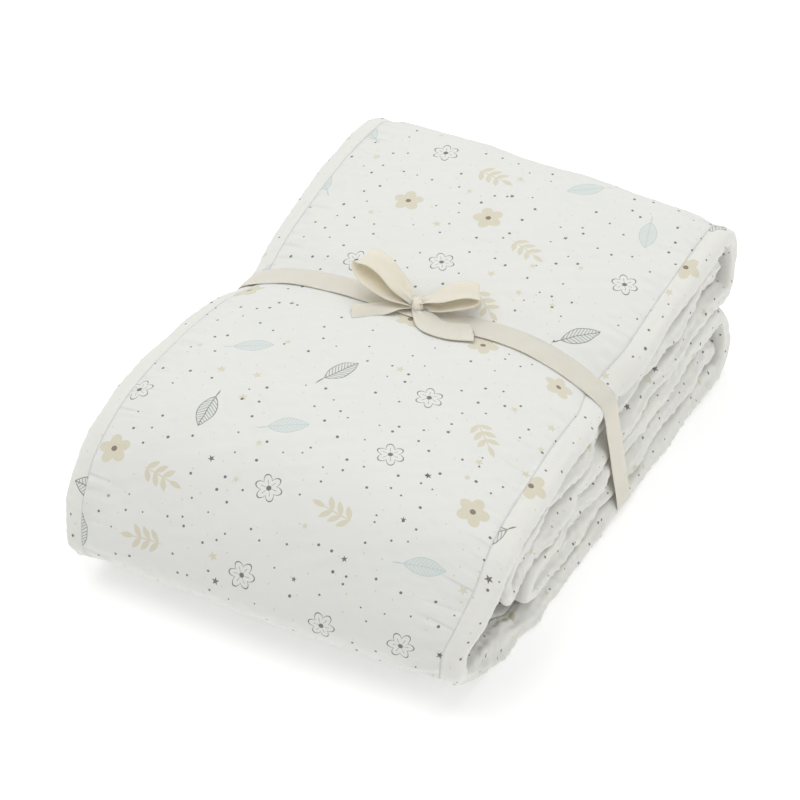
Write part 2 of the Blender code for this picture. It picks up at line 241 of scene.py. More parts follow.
def press(x, y, z):
    """Take points of the even stack to their places in the bundle.

    Height times (top height / stack height), width times its share, then the groove
    below, the hollow under the tape, the drawn-in front and the layers' slips.
    """
    top, from_tape = top_height(x, y), np.abs(y - tape_y(x))
    high = np.maximum(z * top / STACK - SETTLE, 0.0)
    share = high / top
    sink = under_tape(from_tape)
    groove = 1.0 - ease(np.abs(y - GROOVE_Y), GROOVE_FLAT, GROOVE_EDGE)
    right = np.clip((x - DRAW_X[0]) / (DRAW_X[1] - DRAW_X[0]), 0.0, 1.0)
    loose = ease(np.abs(x), *SLIP_X) * np.sin(math.pi * np.clip(share, 0.0, 1.0)) * (1.0 - SLIP_CALM * sink)
    slip = SLIP * loose * waves(y, high, *SLIP_WAVES, 11, SLIP_COUNT)
    sag = SAG * loose * waves(y, x, *SAG_WAVES, 12, SLIP_COUNT)
    pinch = (PINCH * (1.0 - ease(from_tape, PINCH_FLAT, PINCH_EDGE))
             * ease(share, 0.0, PINCH_HIGH) * ease(x, *PINCH_X))
    corner = (LOW_CORNER * ease(y, *CORNER_Y) * ease(x, *CORNER_X)
              * (1.0 - ease(high, 0.0, CORNER_HIGH)))
    new_x = x * width_share(y, high, share) + on_table(y, WIDE, 3) + np.sign(x) * slip - pinch + corner
    new_y = y + DRAW_IN * right**2 * ease(y, *DRAW_Y)
    new_z = (high + GROOVE_DEPTH * groove * np.clip(1.0 - high / GROOVE_HEIGHT, 0.0, 1.0)
             - SINK * sink * np.clip(share, 0, 1)**3 + sag)
    return np.stack([new_x, new_y, new_z], axis=-1) + OFFSET


corner_high = press(np.array([WIDTH / 2]), np.array([TAPE_Y]), np.array([STACK]))[0]
print("right edge under the tape:", (1000 * corner_high).round(1), "mm")

# %% [markdown]
# ## The strip's path
# One strip gives all six layers: two folds lie inside, and the long outermost layer goes
# over the top, round the front and back below. Straight parts and half-ellipse folds are
# cut into stations. Each has its middle in the Y-Z plane, and half the thickness as a
# vector that points to the cloth's face.

# %% Stations
#        layer   start     end    bulge    slide
STRIP = (
    (4, 0.190, -0.132, 0.0170, -0.0012),
    (3, -0.132, 0.186, 0.0175, 0.0010),
    (5, 0.186, -0.146, 0.0685, 0.0000),
    (0, -0.146, 0.176, 0.0180, 0.0000),
    (2, 0.176, -0.098, 0.0170, 0.0012),
    (1, -0.098, 0.180, 0.0000, -0.0014),
)
TOP_LAYER = 5           # its outside, and that of the fold after it, is what shows most
INNER_LEAST = 0.28      # a fold's inside bulges by at least this share of its middle's bulge
FOLD_SHOWN = 0.8        # share of the big front fold that is open to view
FOLD_BARE = 0.5         # the other folds show in full from this share of their bulge on


def layer_height(layer):
    """Height of a layer's middle: its number times PITCH, plus half a thickness."""
    return layer * PITCH + HALF_THICK


def fold_stations(row, after, z, z_after, fold_step):
    """The stations of the fold after a row of STRIP: its inner and outer surfaces are two
    half ellipses; a station's middle and half thickness are half their sum and difference."""
    layer, start, end, bulge, slide = row
    radius, middle = abs(z_after - z) / 2, (z + z_after) / 2
    out, turn = math.copysign(1.0, end - start), math.copysign(1.0, z_after - z)
    inner = (max(bulge - HALF_THICK, INNER_LEAST * bulge), radius - HALF_THICK)
    outer = (bulge + HALF_THICK, radius + HALF_THICK)
    steps = max(int(math.pi * (outer[0] + outer[1]) / 2 / fold_step(layer)), 8)
    rows = []
    for k in range(1, steps):
        part, angle = k / steps, math.pi * k / steps
        reach, rise = math.sin(angle), -turn * math.cos(angle)
        near, far = (np.array((end + out * a * reach, middle + b * rise)) for a, b in (inner, outer))
        bare = float(part < FOLD_SHOWN) if layer == TOP_LAYER else ease(reach, 0.0, FOLD_BARE)
        rows.append((*((near + far) / 2), *((far - near) / 2),
                     slide * (1 - part) + after[4] * part, bare))
    return rows


def strip_path(straight_step, fold_step):
    """Stations from end to end; the steps are functions of the layer's number. The face turns
    over at each fold, and `shown` is 1 where it is open to view."""
    rows, face = [], 1.0
    for row, after in zip(STRIP, STRIP[1:] + (None,)):
        layer, start, end, _, slide = row
        z = layer_height(layer)
        count = max(int(abs(end - start) / straight_step(layer)), 4)
        for y in np.linspace(start, end, count + 1):
            rows.append((y, z, 0.0, face * HALF_THICK, slide, float(layer == TOP_LAYER)))
        if after is not None:
            rows += fold_stations(row, after, z, layer_height(after[0]), fold_step)
        face = -face
    return dict(zip(("y", "z", "dy", "dz", "slide", "shown"), np.array(rows).T))


def length_along(path, side):
    """Running length of the strip's face (side 1), middle (0) or back (-1), pressed."""
    zero = np.zeros(len(path["y"]))
    return run_along(press(zero, path["y"] + side * path["dy"], path["z"] + side * path["dz"]))


# Steps between stations: where the cloth shows, on the floor, inside, in folds, on rolls.
SHOWN_STEP, FLOOR_STEP, INSIDE_STEP, FOLD_STEP, ROLL_STEP = 0.0026, 0.007, 0.012, 0.0032, 0.0024
panel_path = strip_path(lambda n: {TOP_LAYER: SHOWN_STEP, 0: FLOOR_STEP}.get(n, INSIDE_STEP),
                        lambda n: SHOWN_STEP if n == TOP_LAYER else FOLD_STEP)
roll_path = strip_path(lambda n: ROLL_STEP, lambda n: ROLL_STEP)
print(f"strip length {length_along(roll_path, 0)[-1]:.2f} m,",
      len(panel_path["y"]), "and", len(roll_path["y"]), "stations")

# %% [markdown]
# ## From grids to meshes
# Every piece here is a tube: rings of points, one after the other. A tube is closed along
# its length, like the tape's band, or capped at both ends. The cloth's own coordinates,
# length by breadth in metres, are stored on the points, so that weave and print follow
# the cloth round every fold.

# %% Grids
def grid_faces(n, m, closed_along):
    """Faces of a tube of n rings of m points: quads, and a cap at each open end."""
    index = np.arange(n * m).reshape(n, m)
    a = np.vstack([index, index[:1]]) if closed_along else index
    b = np.roll(a, -1, axis=1)
    faces = np.stack([a[:-1], b[:-1], b[1:], a[1:]], axis=-1).reshape(-1, 4).tolist()
    return faces if closed_along else faces + [index[0, ::-1].tolist(), index[-1].tolist()]


def outward(points, faces):
    """The faces, all turned over if the tube's signed volume is negative: six times it is the
    sum of p . (q x r) over the triangles of its quads."""
    quads = np.array([f for f in faces if len(f) == 4])
    p, q, r, s = (points[quads[:, k]] for k in range(4))
    volume = np.sum(p * np.cross(q, r)) + np.sum(p * np.cross(r, s))
    return faces if volume > 0 else [f[::-1] for f in faces]


def place_object(name, data, location=(0.0, 0.0, 0.0), look=None):
    """A new object in the scene; its -Z axis points along `look` if that is given."""
    obj = bpy.data.objects.new(name, data)
    obj.location = location
    if look is not None:
        obj.rotation_euler = look.to_track_quat("-Z", "Y").to_euler()
    bpy.context.scene.collection.objects.link(obj)
    return obj


def grid_object(name, parts):
    """One object from tubes; each part is (points, cloth coordinates, closed along)."""
    points, cloth, faces, first = [], [], [], 0
    for grid, coordinates, closed_along in parts:
        flat = grid.reshape(-1, 3)
        faces += [[k + first for k in f] for f in outward(flat, grid_faces(*grid.shape[:2], closed_along))]
        points.append(flat)
        cloth.append(coordinates.reshape(-1, 3))
        first += len(flat)
    mesh = bpy.data.meshes.new(name)
    mesh.from_pydata(np.vstack(points).tolist(), [], faces)
    attribute = mesh.attributes.new("cloth", "FLOAT_VECTOR", "POINT")
    attribute.data.foreach_set("vector", np.vstack(cloth).astype(np.float32).ravel())
    mesh.shade_smooth()
    return place_object(name, mesh)


print("a capped tube of 3 rings of 4 points has", len(grid_faces(3, 4, False)), "faces")

# %% [markdown]
# ## Sweeping a section along the path
# A section is a closed ring of points: across the strip in metres, and through it as a
# share of the half thickness. Relief moves the points along the ring's own normals while
# the stack is still even, and `press()` then takes them to the bundle.

# %% Sweeping
SEAM_HOLD = 0.0025      # the seam holds the cloth down within this of it
END_LENGTH, END_LEAST = 0.008, 0.35     # the strip thins to this share at its free ends


def ring_normals(ring):
    """Outward normals of a closed ring (x, t): the tangent turned a quarter, in metres."""
    flat = ring * np.array((1.0, HALF_THICK))
    tangent = round_ring(flat)
    normal = np.stack([-tangent[:, 1], tangent[:, 0]], axis=1)
    return -normal if np.sum(normal * (flat - flat.mean(axis=0))) < 0 else normal


def sweep(name, path, ring, relief, along, breadth, inner):
    """Carry a ring along the path, with relief (N, M) in metres along its normals.

    x = ring x + slide + normal x * relief; through = t + normal t * relief / half, and
    where that is negative, on the inner side, times `inner`.
    """
    normal = ring_normals(ring)
    free = ease(np.abs(np.abs(ring[:, 0]) - SEAM), 0.0, SEAM_HOLD)
    x = ring[None, :, 0] + path["slide"][:, None] + (normal[:, 0] * free)[None, :] * relief
    t = ring[None, :, 1] + normal[None, :, 1] * relief / HALF_THICK
    t = np.where(t < 0, t * inner, t)
    ends = np.clip(np.minimum(along, along[-1] - along) / END_LENGTH, 0.0, 1.0)[:, None]
    t = t * (END_LEAST + (1.0 - END_LEAST) * np.sqrt(ends))
    points = press(x, path["y"][:, None] + t * path["dy"][:, None],
                   path["z"][:, None] + t * path["dz"][:, None])
    cloth = np.stack(np.broadcast_arrays(along[:, None], breadth[None, :], 0.0), axis=-1)
    return grid_object(name, [(points, cloth, False)])


HOLLOW_Y, HOLLOW_Z = (-0.124, -0.146), (0.040, 0.020)   # where the lowest layer fills out
HOLLOW_EDGE, HOLLOW_FILL = 1.5, 3.0     # by half thicknesses, at its edge and further in


def hollow(path):
    """1 where the lowest layer lies under the front fold's hollow, eased to 0 round it."""
    return (ease(path["y"], *HOLLOW_Y) * ease(path["z"], *HOLLOW_Z))[:, None]


print(f"{int(np.sum(hollow(roll_path) > 0.5))} stations bulge up into the front fold's hollow")

# %% [markdown]
# ## The panel
# Full in the middle and drawn in towards its two seams. Its face carries the filling's
# soft lumps and, beside the seams, the small gathers that the sewing thread pulls. Each
# is a height times one kind of waves, so it can be made stronger or finer by itself.

# %% Panel
#         share of the half width, share of the half thickness
PANEL_FORM = ((0.0, 1.0), (0.55, 1.0), (0.84, 0.995), (0.93, 0.975), (0.97, 0.950),
              (0.990, 0.925), (1.0, SEAM_THICK))
FACE_COLUMNS, BACK_COLUMNS = 124, 44
CROWDING = 0.45         # how much the columns crowd towards the seams
BACK_AT = 0.5           # the back's breadth coordinate is this less x, away from the face's

GATHER, GATHER_REACH = 0.00115, 0.013   # depth of the gathers, and how far they run in
GATHER_LEVEL = 0.8      # taken off the waves' size, so that the gathers are mostly valleys
LUMP, CRINKLE = 0.00050, 0.00020
BURIED, OPEN = 0.0002, 0.0030       # highest relief where cloth lies on cloth, and more in view
FILL_REACH, FILL_RELIEF = 0.022, 0.0012     # the filled hollow's slope from the seam, its waves


def panel_ring():
    """Upper half from left to right, then lower half back; denser near the seams."""
    form = np.array(PANEL_FORM)

    def half(count, sign):
        """u = crowding * sin(u pi / 2) + (1 - crowding) * u, times the half width."""
        u = np.linspace(-1, 1, count)
        u = np.sin(u * math.pi / 2) * CROWDING + u * (1 - CROWDING)
        return np.stack([u * (SEAM - SEAM_GAP / 2), sign * np.interp(np.abs(u), *form.T)], axis=1)

    return np.vstack([half(FACE_COLUMNS, 1.0), half(BACK_COLUMNS, -1.0)[::-1]])


def in_view(path):
    """The `shown` weight, eased out under the tape, where the cloth is pressed flat."""
    return (path["shown"] * (1.0 - 0.85 * under_tape(np.abs(path["y"] - TAPE_Y))))[:, None]


def build_panel():
    """Face: gathers * e^(-distance / reach) + lumps + crinkle. Back: waves in the hollow."""
    ring = panel_ring()
    along = length_along(panel_path, 1)
    s, x, from_seam = along[:, None], ring[None, :, 0], (SEAM - np.abs(ring[:, 0]))[None, :]
    face = np.arange(len(ring)) < FACE_COLUMNS
    gather = sum(np.exp(-(SEAM + side * x) / GATHER_REACH)
                 * (np.abs(waves(s, x, (0.013, 0.030), (0.04, 0.2), seed)) - GATHER_LEVEL)
                 for side, seed in ((1, 21), (-1, 22)))
    gather = gather * (0.7 + 0.3 * waves(s, 0 * s, (0.12, 0.4), (1.0, 2.0), 25))
    lump = waves(s, x, (0.05, 0.16), (0.05, 0.2), 23)
    crinkle = waves(s, x, (0.008, 0.03), (0.012, 0.05), 24, 40)
    shown = in_view(panel_path)
    relief = GATHER * gather + (LUMP * lump + CRINKLE * crinkle) * shown
    relief = np.minimum(relief, BURIED + OPEN * shown) * ease(from_seam, 0.0, SEAM_HOLD)
    fill, inward = hollow(panel_path), ease(from_seam, 0.0, FILL_REACH)
    back = FILL_RELIEF * fill * inward * waves(s, x, (0.010, 0.026), (0.06, 0.2), 26)
    inner = 1.0 + fill * (HOLLOW_EDGE + (HOLLOW_FILL - HOLLOW_EDGE) * inward)
    return sweep("panel_cloth", panel_path, ring, np.where(face[None, :], relief, back), along,
                 np.where(face, ring[:, 0], BACK_AT - ring[:, 0]), inner)


panel = build_panel()
print("panel:", len(panel.data.polygons), "faces")

# %% [markdown]
# ## The edge rolls
# A puffy border of the same cloth, sewn on and turned over its own padding. Pleats run
# across it from the seam, long grooves run with it, and its fullness and reach vary
# slowly. Its section is a given outline, full above and undercut below.

# %% Rolls
#     share of the roll's width from the seam, share of the half thickness
ROLL_FORM = (
    (0.0, SEAM_THICK), (0.07, 0.925), (0.15, 0.955), (0.26, 0.98), (0.48, 1.0),
    (0.70, 0.985), (0.84, 0.91), (0.93, 0.76), (0.98, 0.54), (1.0, 0.28),
    (0.985, 0.02), (0.94, -0.22), (0.87, -0.45), (0.77, -0.66), (0.60, -0.84),
    (0.40, -0.92), (0.20, -0.92), (0.06, -0.91), (0.0, -SEAM_THICK),
)
ROLL_COLUMNS = 33
PLEAT = 0.00060         # depth of the pleats
PLEAT_LEVEL, PLEAT_TOP = 0.9, 0.25      # taken off the waves' size, and where they are cut off
ROLL_FULL = 0.00036     # slow change of its fullness
ROLL_REACH = 0.00050    # and of how far it stands out
ROLL_CRINKLE = 0.00036  # small creases across it
ROLL_GROOVE = 0.00042   # long grooves that run with it
ROLL_THIN = 0.62        # the outermost roll's inner half is thinner by this share
ROLL_BURIED, ROLL_OPEN = 0.0003, 0.003      # highest relief near the seam, and more at the tip


def roll_ring(side):
    """The roll's ring: from the seam out over a full upper edge, and back undercut."""
    form = np.array(ROLL_FORM)
    run = run_along(form * np.array((ROLL, HALF_THICK)))
    at = np.linspace(0, run[-1], ROLL_COLUMNS)
    d, t = np.interp(at, run, form[:, 0]), np.interp(at, run, form[:, 1])
    return np.stack([side * (SEAM + SEAM_GAP / 2 + d * ROLL), t], axis=1)


def build_roll(name, side, seed):
    """Relief = pleats (sharp valleys) + fullness + reach + grooves + crinkle, in metres.

    The pleats fade towards the tip, and all of it is calmer in view and under the tape.
    """
    ring = roll_ring(side)
    along, breadth = length_along(roll_path, 0), run_along(ring * np.array((1.0, HALF_THICK)))
    s, r, out = along[:, None], breadth[None, :], ((np.abs(ring[:, 0]) - SEAM) / ROLL)[None, :]
    shown = roll_path["shown"][:, None]
    pressed = under_tape(np.abs(roll_path["y"] - TAPE_Y))[:, None]
    valley = np.abs(waves(s, r, (0.014, 0.036), (0.03, 0.12), seed))
    near_seam = 1.0 - 0.45 * ease(out, 0.0, 0.9)
    pleat = PLEAT * np.clip(valley - PLEAT_LEVEL, -PLEAT_LEVEL, PLEAT_TOP) * near_seam
    full = ROLL_FULL * waves(s, r, (0.03, 0.11), (0.10, 0.5), seed + 1)
    reach = ROLL_REACH * waves(s, 0 * r, (0.03, 0.12), (1.0, 2.0), seed + 2) * ease(out, 0.0, 1.0)
    crinkle = ROLL_CRINKLE * waves(s, r, (0.005, 0.016), (0.008, 0.05), seed + 3, 40)
    groove = ROLL_GROOVE * waves(s, r, (0.05, 0.20), (0.006, 0.014), seed + 4)
    calm = (1.0 - 0.5 * shown) * (1.0 - 0.7 * pressed)
    relief = (pleat + full + reach + groove + crinkle) * calm
    relief = np.minimum(relief, ROLL_BURIED + ROLL_OPEN * ease(out, 0.55, 0.95)) * ease(out, 0.0, 0.12)
    inner = 1.0 - ROLL_THIN * shown + HOLLOW_EDGE * hollow(roll_path)
    return sweep(name, roll_path, ring, relief, along, breadth, inner)


roll_left = build_roll("roll_cloth_left", -1, 31)
roll_right = build_roll("roll_cloth_right", 1, 41)
print("rolls:", len(roll_left.data.polygons), "faces each")

# %% [markdown]
# ## The tape's route
# Drawn tight, a tape follows the *convex outline* of what it goes round. So the cloth
# under it is cut out as a slab, flattened into the X-Z plane and wrapped in its hull.

# %% Tape route
TAPE_WIDTH = 0.019      # the solids' tape is 20 mm; at the sides it looks narrower
TAPE_THICK = 0.0006
TAPE_CLEAR = 0.00025    # between the tape and the cloth that it presses on
TAPE_LIFT = 0.0003      # between the tape and the floor
SIDE_TOP = 0.095        # from here down the band's y is eased to its place at the floor
SLAB_MORE = 0.001       # the slab is wider than the tape by this on each side
HULL_STEP, BAND_STEP, ROUNDINGS = 0.0015, 0.0026, 10


def mesh_points(obj):
    """The mesh's points as an (N, 3) array."""
    co = np.zeros(len(obj.data.vertices) * 3)
    obj.data.vertices.foreach_get("co", co)
    return co.reshape(-1, 3)


def hull_outline(points):
    """Convex hull of 2D points, anticlockwise: Andrew's monotone chain."""
    points = sorted(set(map(tuple, np.round(points, 6))))

    def chain(order):
        """Keep each point only while the chain turns left at it."""
        out = []
        for p in order:
            while len(out) > 1 and ((out[-1][0] - out[-2][0]) * (p[1] - out[-2][1])
                                    - (out[-1][1] - out[-2][1]) * (p[0] - out[-2][0])) <= 0:
                out.pop()
            out.append(p)
        return out[:-1]

    return np.array(chain(points) + chain(points[::-1]))


def resample(line, step):
    """The same closed line with points at even running length."""
    line = np.vstack([line, line[:1]])
    run = run_along(line)
    at = np.linspace(0, run[-1], int(run[-1] / step) + 1)[:-1]
    return np.stack([np.interp(at, run, line[:, k]) for k in range(line.shape[1])], axis=1)


def band_y(x, z):
    """Y of the band: tape_y on top, eased to its floor value from SIDE_TOP down to 0."""
    here = tape_y(x - OFFSET[0])
    return here + (TAPE_Y_FLOOR - here) * ease(z, SIDE_TOP, 0.0) + OFFSET[1]


def tape_route():
    """The band's middle line: the hull of the slab under it, moved out and softened."""
    points = np.vstack([mesh_points(obj) for obj in (panel, roll_left, roll_right)])
    away = np.abs(points[:, 1] - band_y(points[:, 0], points[:, 2]))
    slab = points[away < TAPE_WIDTH / 2 + SLAB_MORE][:, (0, 2)]
    hull = resample(hull_outline(slab), HULL_STEP)
    for _ in range(ROUNDINGS):
        hull = (np.roll(hull, 1, 0) + 2 * hull + np.roll(hull, -1, 0)) / 4
    along = round_ring(hull)
    out = np.stack([along[:, 1], -along[:, 0]], axis=1)
    x, z = resample(hull + out * (TAPE_CLEAR + TAPE_THICK / 2), BAND_STEP).T
    return np.stack([x, band_y(x, z), np.maximum(z, TAPE_THICK / 2 + TAPE_LIFT)], axis=1)


band_line = tape_route()
print(f"band: {run_along(np.vstack([band_line, band_line[:1]]))[-1]:.3f} m round")

# %% [markdown]
# ## Ribbons
# Band, loops and tails are all one tape. A ribbon is a line, the direction of its width,
# and a lift of each point of its cross-section. `slant` cuts its far end at an angle.

# %% Ribbon
RIBBON_COLUMNS = 13
ACROSS = np.linspace(-1, 1, RIBBON_COLUMNS)


def smooth_line(knots, count):
    """A Catmull-Rom curve through the rows of `knots`, as `count` points."""
    k = np.asarray(knots, float)
    k = np.vstack([2 * k[0] - k[1], k, 2 * k[-1] - k[-2]])
    t = np.linspace(0, len(k) - 3, count)
    i = np.minimum(t.astype(int), len(k) - 4)
    f = (t - i)[:, None]
    p0, p1, p2, p3 = k[i], k[i + 1], k[i + 2], k[i + 3]
    return 0.5 * (2 * p1 + (p2 - p0) * f + (2 * p0 - 5 * p1 + 4 * p2 - p3) * f**2
                  + (3 * p1 - p0 - 3 * p2 + p3) * f**3)


def ribbon_points(line, across, width, lift, slant=0.0, closed=False):
    """Rings (N, 2M, 3) of a ribbon and its own coordinates: length, breadth.

    point = line + across * a * width / 2 + up * (lift +- half thickness), a in -1..1,
    read at the running length times 1 + slant * a / whole length.
    """
    a = ACROSS
    along = round_ring(line) if closed else unit(np.gradient(line, axis=0))
    across = unit(across - along * np.sum(across * along, axis=1, keepdims=True))
    up = np.cross(along, across)
    run = run_along(line)
    at = run[:, None] * (1 + slant * a[None, :] / run[-1])

    def read(values):
        """Read values given along the line at the slanted places."""
        return np.stack([np.interp(at, run, values[:, k]) for k in range(3)], -1)

    middle, side, rise = (read(v) if slant else v[:, None, :] for v in (line, across, up))
    width = np.broadcast_to(width, len(line))[:, None, None]
    body = middle + side * a[None, :, None] * width / 2 + rise * lift[..., None]
    half = TAPE_THICK / 2 * np.sqrt(np.clip(1.02 - a**8, 0.2, 1.0))[None, :, None]
    cloth = np.stack(np.broadcast_arrays(at, a[None, :] * TAPE_WIDTH / 2, 0.0), axis=-1)
    return (np.concatenate([body + rise * half, (body - rise * half)[:, ::-1]], axis=1),
            np.concatenate([cloth, cloth[:, ::-1]], axis=1))


print("a ribbon's ring has", 2 * RIBBON_COLUMNS, "points")

# %% [markdown]
# ## The bow
# The loops' and tails' lines are given points, in metres from the knot's middle. Near
# the knot the tape is gathered: narrower, with pleats that fade as it opens out. The knot
# is the tape's one turn over the crossing, a leaning barrel with lengthwise creases.

# %% Bow lines
#     out      up      aside, in the loop's own upright plane
LEFT_LOOP = (
    (0.0015, 0.0015, 0.0), (0.0110, 0.0082, 0.0), (0.0185, 0.0140, 0.0005),
    (0.0265, 0.0196, 0.0010), (0.0350, 0.0232, 0.0010), (0.0422, 0.0232, 0.0),
    (0.0452, 0.0196, -0.0012), (0.0428, 0.0156, -0.0036), (0.0360, 0.0118, -0.0052),
    (0.0205, 0.0058, -0.0034), (0.0015, -0.0014, 0.0),
)
RIGHT_LOOP = (
    (0.0015, 0.0015, 0.0), (0.0120, 0.0066, 0.0), (0.0225, 0.0110, 0.0),
    (0.0325, 0.0138, 0.0), (0.0402, 0.0134, 0.0), (0.0426, 0.0106, -0.0004),
    (0.0392, 0.0076, -0.0014), (0.0305, 0.0048, -0.0020), (0.0180, 0.0018, -0.0014),
    (0.0015, -0.0014, 0.0),
)
LEFT_YAW, RIGHT_YAW = 5.0, 25.0         # degrees that each loop's plane is turned
#                x        y        z
LEFT_TAIL = (
    (-0.0010, -0.0010, -0.0006), (-0.0080, -0.0045, -0.0018), (-0.0170, -0.0105, -0.0026),
    (-0.0270, -0.0185, -0.0028), (-0.0370, -0.0265, -0.0026),
)
RIGHT_TAIL = (
    (0.0010, -0.0010, -0.0006), (0.0090, -0.0075, -0.0020), (0.0190, -0.0125, -0.0028),
    (0.0330, -0.0120, -0.0030), (0.0480, -0.0055, -0.0030),
)
print("loop tape:", [f"{run_along(np.array(t))[-1] * 1000:.0f} mm" for t in (LEFT_LOOP, RIGHT_LOOP)])

# %% Bow parts
GATHERED, GATHER_LENGTH = 0.46, 0.020   # width share at the knot, and where it has opened out
PLEAT_DEPTH, PLEAT_FOLDS = 0.0011, 1.6
SOFT_LIFT = 0.00035     # gentle waves of the open tape
LOOP_POINTS, TAIL_POINTS = 60, 34
KNOT_RADII = (0.0040, 0.0070, 0.0040)   # along the barrel, across it and up
KNOT_LEAN = math.radians(46.0)


def gathering(run):
    """Width share and pleat depth at a distance from the knot, eased as it opens out."""
    opened = ease(run, 0.0, GATHER_LENGTH)
    return GATHERED + (1 - GATHERED) * opened, PLEAT_DEPTH * (1 - opened)


def pleats(run, seed):
    """Lift of each column: a cosine across the tape, deep at the knot and fading out."""
    a = ACROSS[None, :]
    soft = waves(run[:, None], a * TAPE_WIDTH, (0.03, 0.08), (0.03, 0.06), seed, 10)
    return (gathering(run)[1][:, None] * np.cos(math.pi * PLEAT_FOLDS * a + seed)
            + SOFT_LIFT * soft * ease(run, 0.0, 0.01)[:, None])


def loop_points(table, side, yaw, knot, seed):
    """A loop: knot + out * first + up * second + aside * third column, out turned by yaw."""
    turn = math.radians(yaw)
    out = np.array((side * math.cos(turn), math.sin(turn), 0.0))
    aside = np.array((-side * math.sin(turn), math.cos(turn), 0.0))
    up = np.array((0.0, 0.0, 1.0))
    line = smooth_line([knot + out * a + aside * c + up * b for a, b, c in table], LOOP_POINTS)
    run = run_along(line)
    run = np.minimum(run, run[-1] - run)
    return ribbon_points(line, np.tile(aside, (len(line), 1)), TAPE_WIDTH * gathering(run)[0],
                         pleats(run, seed))


def tail_points(table, knot, slant, seed, share=1.0):
    """A tail: laid along the cloth, its width level, its end cut at a slant."""
    line = smooth_line(knot + np.array(table), TAIL_POINTS)
    along = np.gradient(line, axis=0)
    across = np.stack([-along[:, 1], along[:, 0], np.zeros(len(line))], axis=1)
    run = run_along(line)
    width = TAPE_WIDTH * share * gathering(run)[0]
    return ribbon_points(line, across, width, pleats(run, seed), slant)


def knot_points(knot):
    """A barrel: radius = sqrt(1 - |u|^3.2) * (1 + 0.075 cos(3.4 pi u + 0.6) (1 - u^2))."""
    u = np.linspace(-1, 1, 19)
    v = np.linspace(0, 2 * math.pi, 36, endpoint=False)[None, :]
    crease = 1.0 + 0.075 * np.cos(2 * math.pi * 1.7 * u + 0.6) * (1 - u**2)
    radius = (np.sqrt(np.clip(1.0 - np.abs(u)**3.2, 0.02, 1.0)) * crease)[:, None]
    x = KNOT_RADII[0] * u[:, None] + 0.0007 * np.sin(v)
    y = KNOT_RADII[1] * radius * np.cos(v)
    z = KNOT_RADII[2] * radius * np.sin(v)
    c, s = math.cos(KNOT_LEAN), math.sin(KNOT_LEAN)
    cloth = np.stack(np.broadcast_arrays(v * 0.006, x, 0.0), axis=-1)
    return np.stack([x * c - y * s, x * s + y * c, z], axis=-1) + knot, cloth


print(f"the tape is {TAPE_WIDTH * GATHERED * 1000:.1f} mm wide where the knot grips it")

# %% Tape
KNOT_X, KNOT_RISE = -0.008, 0.0045      # the knot's x, and its middle over the band


def build_tape():
    """The band round the bundle with the knot, two loops and two tails."""
    run = np.linspace(0, 1, len(band_line), endpoint=False)[:, None]
    lift = 0.00012 * waves(run, ACROSS[None, :] * 0.01, (0.03, 0.09), (0.02, 0.05), 51, 12)
    level = np.tile((0.0, -1.0, 0.0), (len(band_line), 1))
    band = ribbon_points(band_line, level, TAPE_WIDTH, lift, closed=True)
    under = (np.abs(band_line[:, 0] - KNOT_X - OFFSET[0]) < 0.003) & (band_line[:, 2] > 0.05)
    _, y, z = band_line[under].mean(axis=0)
    knot = np.array((KNOT_X + OFFSET[0], y, z + KNOT_RISE))
    parts = (loop_points(LEFT_LOOP, -1, LEFT_YAW, knot, 61),
             loop_points(RIGHT_LOOP, 1, RIGHT_YAW, knot, 62),
             tail_points(LEFT_TAIL, knot, 0.005, 63, share=0.78),
             tail_points(RIGHT_TAIL, knot, -0.004, 64),
             knot_points(knot))
    return grid_object("tape_cloth", [(*band, True)] + [(*part, False) for part in parts])


tape = build_tape()
print("tape:", len(tape.data.polygons), "faces")

# %% [markdown]
# ## Node trees as formulas
# The finishes are drawn by arithmetic in the cloth's own coordinates, which takes many
# small nodes. A `Value` stands for a node's output, and calculating with it adds the
# nodes: `abs(x) * 2 - y` adds three.

# %% Formulas
def fill(made, inputs):
    """Link each input that is given a Value, and set a constant on each other one."""
    for key, value in inputs.items():
        if isinstance(value, Value):
            made.id_data.links.new(value.socket, made.inputs[key])
        else:
            made.inputs[key].default_value = value
    return made


def node(tree, kind, inputs, **settings):
    """A new node with these settings and inputs."""
    made = tree.nodes.new(kind)
    for key, value in settings.items():
        setattr(made, key, value)
    return fill(made, inputs)


def result(tree, kind, output, inputs, **settings):
    """One output of a new node, as a Value."""
    return Value(node(tree, kind, inputs, **settings).outputs[output])


def calculate(operation, *values):
    """One operation on numbers, or on vectors if a vector is among the values."""
    sockets = [v.socket for v in values if isinstance(v, Value)]
    vector = any(s.type == "VECTOR" for s in sockets)
    return result(sockets[0].id_data, "ShaderNodeVectorMath" if vector else "ShaderNodeMath",
                  "Vector" if vector and operation != "LENGTH" else "Value",
                  dict(enumerate(values)), operation=operation)


def method(operation, swapped=False):
    """A method of Value: the operation on itself and another value, or the two swapped."""
    return lambda self, other: calculate(operation, *((other, self) if swapped else (self, other)))


class Value:
    """A node's output that can be calculated with: each operation adds one node."""

    def __init__(self, socket):
        """Keep the socket and the tree that it lies in."""
        self.socket, self.tree = socket, socket.id_data

    def __abs__(self):
        """|self|"""
        return calculate("ABSOLUTE", self)

    __add__, __radd__ = method("ADD"), method("ADD", swapped=True)
    __sub__, __rsub__ = method("SUBTRACT"), method("SUBTRACT", swapped=True)
    __mul__, __truediv__, __pow__ = method("MULTIPLY"), method("DIVIDE"), method("POWER")
    __gt__, __lt__ = method("GREATER_THAN"), method("LESS_THAN")


def split(vector):
    """A vector's x, y and z."""
    return [Value(s) for s in node(vector.tree, "ShaderNodeSeparateXYZ", {0: vector}).outputs]


def length(vector):
    """A vector's length."""
    return calculate("LENGTH", vector)


def wave(a):
    """|sin a|"""
    return abs(calculate("SINE", a))


